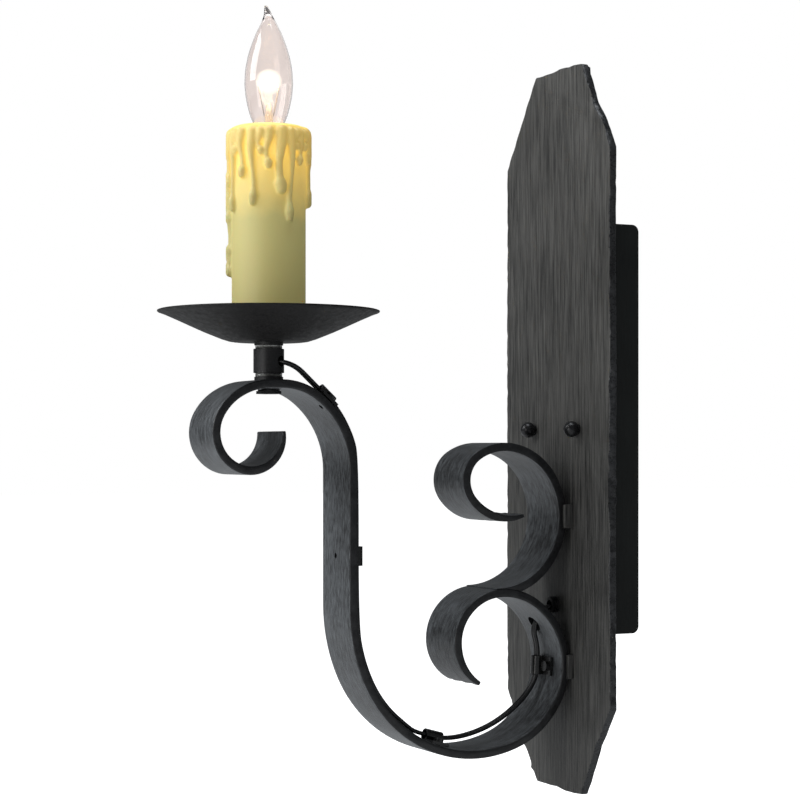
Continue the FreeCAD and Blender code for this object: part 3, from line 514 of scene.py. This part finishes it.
rim_edges = [e for e in plate.edges if e.calc_length() > 0.004 and all(far_from_holes(v.co) for v in e.verts)
             and abs(e.verts[0].co.y - e.verts[1].co.y) < 1e-6]
for edge in rim_edges:
    cuts = int(edge.calc_length() / 0.0042)
    if cuts > 0:
        bmesh.ops.subdivide_edges(plate, edges=[edge], cuts=cuts)
outline = [v for v in plate.verts if far_from_holes(v.co)]
for vert in outline:
    x, z = vert.co.x, vert.co.z
    wave = 0.5 + 0.25 * math.sin(z * 310 + x * 90) + 0.25 * math.sin(z * 730 - x * 260 + 1.3)
    front = 1.0 if vert.co.y < plate_low[1] + 1e-4 else 0.55
    shrink = 0.0011 * wave * front
    vert.co.x -= math.copysign(min(shrink, abs(x) * 0.02), x)
    if abs(z) > 0.245:
        vert.co.z -= math.copysign(shrink * 0.8, z)
soften_corners(plate, far_from_holes, WORN_EDGE)
hammered = dress(plate, "plate_forged", "backplate", plate_iron)
hammered.data.materials.append(edge_iron)
for face in hammered.data.polygons:
    if abs(face.normal.y) < 0.9:
        face.material_index = 1

# %% [markdown]
# ## Spun drip pan
# The pan is spun from one disc: a flat floor, a long shallow rise and a thin rolled rim. A profile with a
# few more points than the solid has gives the slow curve of real spun metal.

# %% Spin the pan
pan_low, pan_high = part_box("drip_pan")
rim = (pan_high[0] - pan_low[0]) / 2 - 0.00002
floor_z = pan_low[2]
PAN_UNDER = [(0.0050, 0.0), (0.0236, 0.0), (0.0262, 0.0004), (0.0310, 0.0019), (0.0420, 0.0063),
             (0.0510, 0.0103), (0.0600, 0.0144), (0.0680, 0.0179), (rim - 0.0006, 0.0192)]
PAN_LIP = [(rim, 0.0197), (rim - 0.0001, 0.0203), (rim - 0.0009, 0.0206)]
pan_profile = [(r, floor_z + z) for r, z in PAN_UNDER + PAN_LIP]
pan_profile += [(r - 0.0006, floor_z + z + 0.0013) for r, z in reversed(PAN_UNDER[2:8])]
pan_profile += [(0.0234, floor_z + 0.0014), (0.0050, floor_z + 0.0014)]
pan = piece_from(spin_profile(pan_profile, candle_x, candle_y, steps=128), "pan_spun", "frame",
                 replaces=("drip_pan",))
pan.data.materials.append(pan_iron)

# %% [markdown]
# ## Wax runs on the sleeve
# Drip sleeves are cast with frozen runs of wax. Each run starts at the mouth, narrows as it falls and
# ends in a fat drop. Balls are strung down each run, all of them are merged with the tube, and a voxel
# remesh melts them into one skin. A little smoothing then rounds the joins as wax would.

# %% Build the runs and melt them together
SLEEVE_R = 0.024
top_z = sleeve_high[2]
RUNS = [(-119, 0.172, 4.6), (-106, 0.156, 3.6), (-88, 0.139, 2.8), (-66, 0.160, 2.8), (-47, 0.142, 2.7),
        (-24, 0.165, 2.8), (-5, 0.149, 3.8), (12, 0.132, 2.6), (30, 0.168, 2.8), (60, 0.170, 4.8),
        (74, 0.143, 3.6), (98, 0.158, 3.2), (121, 0.138, 2.8), (146, 0.166, 3.4), (170, 0.148, 3.0),
        (196, 0.163, 3.4), (220, 0.134, 2.8), (-36, 0.174, 2.4), (21, 0.178, 2.6), (-77, 0.176, 2.6),
        (158, 0.178, 2.8), (208, 0.176, 2.8), (110, 0.176, 2.8), (43, 0.178, 3.0)]
body = spin_profile([(0.0212, sleeve_low[2] + 0.0002), (SLEEVE_R, sleeve_low[2] + 0.0002), (SLEEVE_R, 0.12),
                     (SLEEVE_R, 0.172), (SLEEVE_R + 0.0003, 0.180), (SLEEVE_R + 0.0014, top_z - 0.0060),
                     (SLEEVE_R + 0.0009, top_z - 0.0020), (SLEEVE_R - 0.0022, top_z - 0.0005),
                     (0.0176, top_z - 0.0005), (0.0174, top_z - 0.003), (0.0212, top_z - 0.0066)],
                    candle_x, candle_y, steps=96)


def wax_run(direction, start, low, width):
    """A string of balls: broad at the mouth, thin on the way down, fat at the drop."""
    angle = math.radians(direction)
    count = max(int((start - low) / 0.0013), 3)
    for step in range(count + 1):
        share = step / count
        swell = max(0.0, 1 - abs(share - 0.93) / 0.13)
        radius = 1.22 * width * (1.10 - 0.54 * min(share / 0.5, 1.0) + 0.38 * swell)
        wander = 0.035 * math.sin(6 * share + direction)
        out = min(SLEEVE_R - 0.0002 + 0.5 * radius, 0.0282 - radius)
        centre = Vector((candle_x + out * math.cos(angle + wander), candle_y + out * math.sin(angle + wander),
                         start + (low + radius - start) * share))
        bmesh.ops.create_icosphere(body, subdivisions=2, radius=radius, matrix=Matrix.Translation(centre))


for direction, low, width in RUNS:
    wax_run(direction, top_z - 0.0065, low, width / 1000)
wax_run(-116, 0.158, 0.132, 0.0034)
wax_run(-115, 0.150, 0.099, 0.0026)
wax_run(-116, 0.116, 0.098, 0.0034)
wax_piece = piece_from(body, "wax_sleeve", "sleeve", replaces=("candle_sleeve",),
                       degrees=180.0)
melt = wax_piece.modifiers.new("melt", "REMESH")
melt.mode = "VOXEL"
melt.voxel_size = 0.00065
melt.use_smooth_shade = True
soften = wax_piece.modifiers.new("soften", "SMOOTH")
soften.factor = 0.5
soften.iterations = 4
melted = bpy.data.meshes.new_from_object(wax_piece.evaluated_get(bpy.context.evaluated_depsgraph_get()))
wax_piece.modifiers.clear()
wax_piece.data = melted
wax_piece.data.materials.clear()
wax_piece.data.materials.append(wax)
print("wax", len(melted.polygons), "faces")

# %% [markdown]
# ## Blown glass flame
# The bulb is a bent-tip flame: round below, drawn out above, with the seal at the tip pulled over to one
# side while it was soft. It is spun as a thin closed wall, and then the top is leaned over gradually.

# %% Spin the glass and bend its tip
GLASS = [(0.1889, 0.0068), (0.1915, 0.0074), (0.1950, 0.0088), (0.1990, 0.0106), (0.2040, 0.0125),
         (0.2100, 0.0140), (0.2160, 0.0151), (0.2235, 0.01575), (0.2310, 0.0154), (0.2360, 0.0147),
         (0.2410, 0.0137), (0.2470, 0.0119), (0.2520, 0.0101), (0.2565, 0.0083), (0.2605, 0.0063),
         (0.2640, 0.0046), (0.2675, 0.0031), (0.2705, 0.0022), (0.2730, 0.0015), (0.2743, 0.0008)]
outer = [(r, z) for z, r in GLASS]
inner = [(max(r - 0.0007, 0.0003), z) for z, r in reversed(GLASS[:-3])]
bm = spin_profile(outer + [(0.0, 0.2746), (0.0, 0.2690)] + inner, candle_x, candle_y, steps=96)
for vert in bm.verts:
    share = max(0.0, (vert.co.z - 0.256) / 0.0187)
    vert.co.y += 0.0004 * share - 0.0026 * share ** 3
flame = piece_from(bm, "glass_flame", "bulb_glass", replaces=("bulb_envelope",), degrees=80.0)
flame.data.materials.append(clear_glass)

# %% [markdown]
# The hot wire is a fine coil strung straight between the two lead wires. A small circle swept along a helix
# would be thousands of faces, so it is drawn as a row of small balls, close enough together to read as one
# glowing line.

# %% String the hot wire
bm = bmesh.new()
wire_low, wire_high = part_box("bulb_filament")
beads = 26
for step in range(beads + 1):
    share = step / beads
    y = wire_low[1] + 0.0008 + (wire_high[1] - wire_low[1] - 0.0016) * share
    z = (wire_low[2] + wire_high[2]) / 2
    bmesh.ops.create_icosphere(bm, subdivisions=2, radius=0.00055,
                               matrix=Matrix.Translation((candle_x, y, z)))
coil = piece_from(bm, "hot_coil", "bulb_glass", replaces=("bulb_filament",), degrees=180.0)
coil.data.materials.append(hot_wire)

# %% [markdown]
# A hot wire is too bright to look at, and it is seen as a soft ball of light. Nested thin shells, each
# letting most of what is behind it through and adding a little light of its own, build that up from any
# side.

# %% Nested shells of light
halo = bpy.data.materials.new("halo")
halo.use_nodes = True
tree = halo.node_tree
tree.nodes.remove(tree.nodes["Principled BSDF"])
clear = tree.nodes.new("ShaderNodeBsdfTransparent")
light = tree.nodes.new("ShaderNodeEmission")
light.inputs["Strength"].default_value = 2.4
place = tree.nodes.new("ShaderNodeTexCoord")
drift = tree.nodes.new("ShaderNodeTexNoise")
drift.inputs["Scale"].default_value = 120.0
tree.links.new(place.outputs["Object"], drift.inputs["Vector"])
warm = tree.nodes.new("ShaderNodeValToRGB")
warm.color_ramp.elements[0].color = (1.0, 0.90, 0.72, 1)
warm.color_ramp.elements[1].color = (1.0, 0.95, 0.86, 1)
tree.links.new(drift.outputs["Fac"], warm.inputs["Fac"])
tree.links.new(warm.outputs["Color"], light.inputs["Color"])
mix = tree.nodes.new("ShaderNodeMixShader")
mix.inputs["Fac"].default_value = 0.10
tree.links.new(clear.outputs["BSDF"], mix.inputs[1])
tree.links.new(light.outputs["Emission"], mix.inputs[2])
tree.links.new(mix.outputs["Shader"], tree.nodes["Material Output"].inputs["Surface"])
GLOW_Z = 0.2250
bm = bmesh.new()
for radius in (0.0020, 0.0032, 0.0044, 0.0056, 0.0067, 0.0077, 0.0086):
    bmesh.ops.create_icosphere(bm, subdivisions=3, radius=radius,
                               matrix=Matrix.Translation((candle_x, candle_y, GLOW_Z)))
shells = piece_from(bm, "light_shells", "bulb_glass", degrees=180.0)
shells.data.materials.append(halo)

# %% [markdown]
# ## Ribbed cord bushing
# Where the cord leaves the plate it passes a moulded bushing with ribs that let it flex. The profile is
# spun about an upright axis and the finished mesh is then turned to point out from the wall.

# %% Spin and turn the bushing
relief_low, relief_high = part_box("strain_relief")
nose = relief_low[1]
tail = relief_high[1]
relief_r = (relief_high[0] - relief_low[0]) / 2
span = tail - nose
ribs = [(0.0034, 0.0), (0.0042, 0.0)]
for number in range(3):
    start = 0.0003 + number * 0.0016
    ribs += [(relief_r - 0.0004, start), (relief_r, start + 0.0004), (relief_r - 0.0003, start + 0.0009),
             (relief_r - 0.0016, start + 0.0011), (relief_r - 0.0016, start + 0.0015)]
ribs += [(0.0046, 0.0052), (0.0046, span), (0.0034, span)]
bm = spin_profile(ribs, 0.0, 0.0, steps=64)
turn = Matrix.Rotation(math.radians(-90), 4, "X")
turn = Matrix.Translation((0.0, nose, (relief_low[2] + relief_high[2]) / 2)) @ turn
bmesh.ops.transform(bm, matrix=turn, verts=bm.verts)
bushing = piece_from(bm, "ribbed_bushing", "frame", replaces=("strain_relief",))
bushing.data.materials.append(relief_black)

# %% [markdown]
# ## Twin lead
# Lamp lead is two round insulated wires moulded side by side, with a groove between them. Two round
# tubes follow the lead's route, one to each side of it, and just overlap in the middle. The route repeats
# the corners of the working model's lead, and a smooth curve of order three rounds them.

# %% Run the twin lead along the bar
ROUTE = [(0.0025, -0.2469, 0.0435), (0.0139, -0.2388, 0.0435), (0.0070, -0.2198, 0.0289),
         (0.0070, -0.2037, 0.0140), (0.0083, -0.1941, -0.0039), (0.0088, -0.1903, -0.0195),
         (0.0085, -0.1903, -0.1292), (0.0075, -0.1855, -0.1520), (0.0059, -0.1768, -0.1714),
         (0.0036, -0.1651, -0.1867), (0.0014, -0.1501, -0.1988), (-0.0020, -0.1420, -0.2040),
         (-0.0020, -0.1150, -0.2116), (-0.0030, -0.0776, -0.2020), (-0.0050, -0.0464, -0.1773),
         (-0.0050, -0.0452, -0.1503), (-0.0030, -0.0506, -0.1382), (-0.0015, -0.0426, -0.1245),
         (0.0, -0.0356, -0.1215), (0.0, -0.0256, -0.1215)]
lead_mesh = bmesh.new()
for side in (-1, 1):
    curve = bpy.data.curves.new("lead_path", "CURVE")
    curve.dimensions = "3D"
    curve.resolution_u = 10
    curve.bevel_depth = 0.00142
    curve.bevel_resolution = 4
    curve.use_fill_caps = True
    spline = curve.splines.new("NURBS")
    spline.points.add(len(ROUTE) - 1)
    for point, (x, y, z) in zip(spline.points, ROUTE):
        point.co = (x + side * 0.00134, y, z, 1.0)
    spline.order_u = 3
    spline.use_endpoint_u = True
    holder = bpy.data.objects.new("lead_path", curve)
    bpy.context.collection.objects.link(holder)
    bpy.context.view_layer.update()
    tube_mesh = bpy.data.meshes.new_from_object(holder.evaluated_get(bpy.context.evaluated_depsgraph_get()))
    lead_mesh.from_mesh(tube_mesh)
    bpy.data.objects.remove(holder)
lead = piece_from(lead_mesh, "twin_lead", "frame", replaces=("power_cord",), degrees=60.0)
lead.data.materials.clear()
lead.data.materials.append(cord_black)

# %% [markdown]
# Between the coupling and its rings a little of the threaded tube shows as bright turned metal. Two short
# spun bands with three ridges each stand for it.

# %% Bright threads above and below the coupling
for name, low_z, high_z in (("threads_low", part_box("lower_check_ring")[1][2], 0.0354),
                            ("threads_high", 0.0520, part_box("upper_check_ring")[0][2])):
    step = (high_z - low_z) / 6
    ridge = [(0.0080, low_z)]
    for number in range(7):
        ridge.append((0.00885 if number % 2 else 0.00865, low_z + step * number))
    ridge.append((0.0080, high_z))
    band = piece_from(spin_profile(ridge, candle_x, candle_y, steps=64), name, "frame")
    band.data.materials.append(zinc)

# %% [markdown]
# ## Floor, lights and camera
# A pale floor well below the plate and a white surround keep attention on the iron. The surround is white
# to look at but only dimly lights the iron, or black paint would turn grey. Three soft panels do the rest:
# a large one high in front, a cooler one overhead and a weak one from the front on the other side.

# %% Floor and surround
bm = bmesh.new()
FLOOR_Z = -0.32
bmesh.ops.create_grid(bm, x_segments=1, y_segments=1, size=12.0, matrix=Matrix.Translation((0, 0, FLOOR_Z)))
floor_mesh = bpy.data.meshes.new("pale_floor")
bm.to_mesh(floor_mesh)
bm.free()
floor = bpy.data.objects.new("pale_floor", floor_mesh)
bpy.context.collection.objects.link(floor)
floor_paint = finish_material("floor_paint", (0.90, 0.90, 0.90), (0.93, 0.93, 0.93), rough=(0.8, 0.9),
                              bump=0.0)
floor_mesh.materials.append(floor_paint)

floor_tree = floor_paint.node_tree
floor_shader = floor_tree.nodes["Principled BSDF"]
floor_shader.inputs["Emission Color"].default_value = (1.0, 1.0, 1.0, 1)
floor_seen = floor_tree.nodes.new("ShaderNodeLightPath")
floor_gain = floor_tree.nodes.new("ShaderNodeMath")
floor_gain.operation = "MULTIPLY"
floor_gain.inputs[1].default_value = 1.0
floor_tree.links.new(floor_seen.outputs["Is Camera Ray"], floor_gain.inputs[0])
floor_tree.links.new(floor_gain.outputs["Value"], floor_shader.inputs["Emission Strength"])

world = bpy.data.worlds.new("white_surround")
bpy.context.scene.world = world
world.use_nodes = True
sky = world.node_tree
seen = sky.nodes["Background"]
seen.inputs["Color"].default_value = (1.0, 1.0, 1.0, 1)
seen.inputs["Strength"].default_value = 1.0
soft = sky.nodes.new("ShaderNodeBackground")
soft.inputs["Color"].default_value = (0.94, 0.97, 1.0, 1)
soft.inputs["Strength"].default_value = 0.17
ray = sky.nodes.new("ShaderNodeLightPath")
choose = sky.nodes.new("ShaderNodeMixShader")
seen_directly = sky.nodes.new("ShaderNodeMath")
seen_directly.operation = "MAXIMUM"
sky.links.new(ray.outputs["Is Camera Ray"], seen_directly.inputs[0])
sky.links.new(ray.outputs["Is Transmission Ray"], seen_directly.inputs[1])
sky.links.new(seen_directly.outputs["Value"], choose.inputs["Fac"])
sky.links.new(soft.outputs["Background"], choose.inputs[1])
sky.links.new(seen.outputs["Background"], choose.inputs[2])
sky.links.new(choose.outputs["Shader"], sky.nodes["World Output"].inputs["Surface"])
bpy.context.scene.view_settings.view_transform = "Standard"


def panel(name, place, target, size, power, colour):
    light = bpy.data.lights.new(name, "AREA")
    light.size = size
    light.energy = power
    light.color = colour
    lamp = bpy.data.objects.new(name, light)
    bpy.context.collection.objects.link(lamp)
    lamp.location = place
    lamp.rotation_euler = (Vector(target) - Vector(place)).to_track_quat("-Z", "Y").to_euler()


panel("key_panel", (-0.5, -1.9, 1.1), (0, -0.12, 0), 1.3, 26.0, (0.97, 0.985, 1.0))
panel("top_panel", (0.2, -0.2, 1.7), (0, -0.12, 0), 1.0, 14.0, (0.92, 0.96, 1.0))
panel("front_fill", (0.6, -1.8, 0.0), (0, -0.1, 0), 0.9, 6.0, (1.0, 0.99, 0.97))

glow_light = bpy.data.lights.new("bulb_light", "POINT")
glow_light.energy = 0.35
glow_light.color = (1.0, 0.78, 0.45)
glow_light.shadow_soft_size = 0.004
glow_lamp = bpy.data.objects.new("bulb_light", glow_light)
bpy.context.collection.objects.link(glow_lamp)
glow_lamp.location = (candle_x + 0.002, candle_y, 0.2245)

# %% [markdown]
# The camera is level, a metre and a half away and well round to the side, with a long lens, so uprights
# stay upright. A small upward shift of the lens puts the sconce in the middle of the frame.

# %% Camera
TURN = math.radians(64.1)
RIGHT = Vector((math.cos(TURN), math.sin(TURN), 0))
AHEAD = Vector((-math.sin(TURN), math.cos(TURN), 0))
plate_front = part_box("backplate")[0][1]
camera_data = bpy.data.cameras.new("portrait_camera")
camera_data.lens = 93.67
camera_data.sensor_width = 36.0
camera_data.shift_y = 0.0616
camera = bpy.data.objects.new("portrait_camera", camera_data)
bpy.context.collection.objects.link(camera)
camera.location = Vector((0, plate_front, -0.0137)) - RIGHT * 0.1081 - AHEAD * 1.4469
camera.rotation_euler = (math.radians(90), 0, TURN)
bpy.context.scene.camera = camera
print("camera at", [round(v, 3) for v in camera.location])

# %% Finish
bpy.context.view_layer.update()
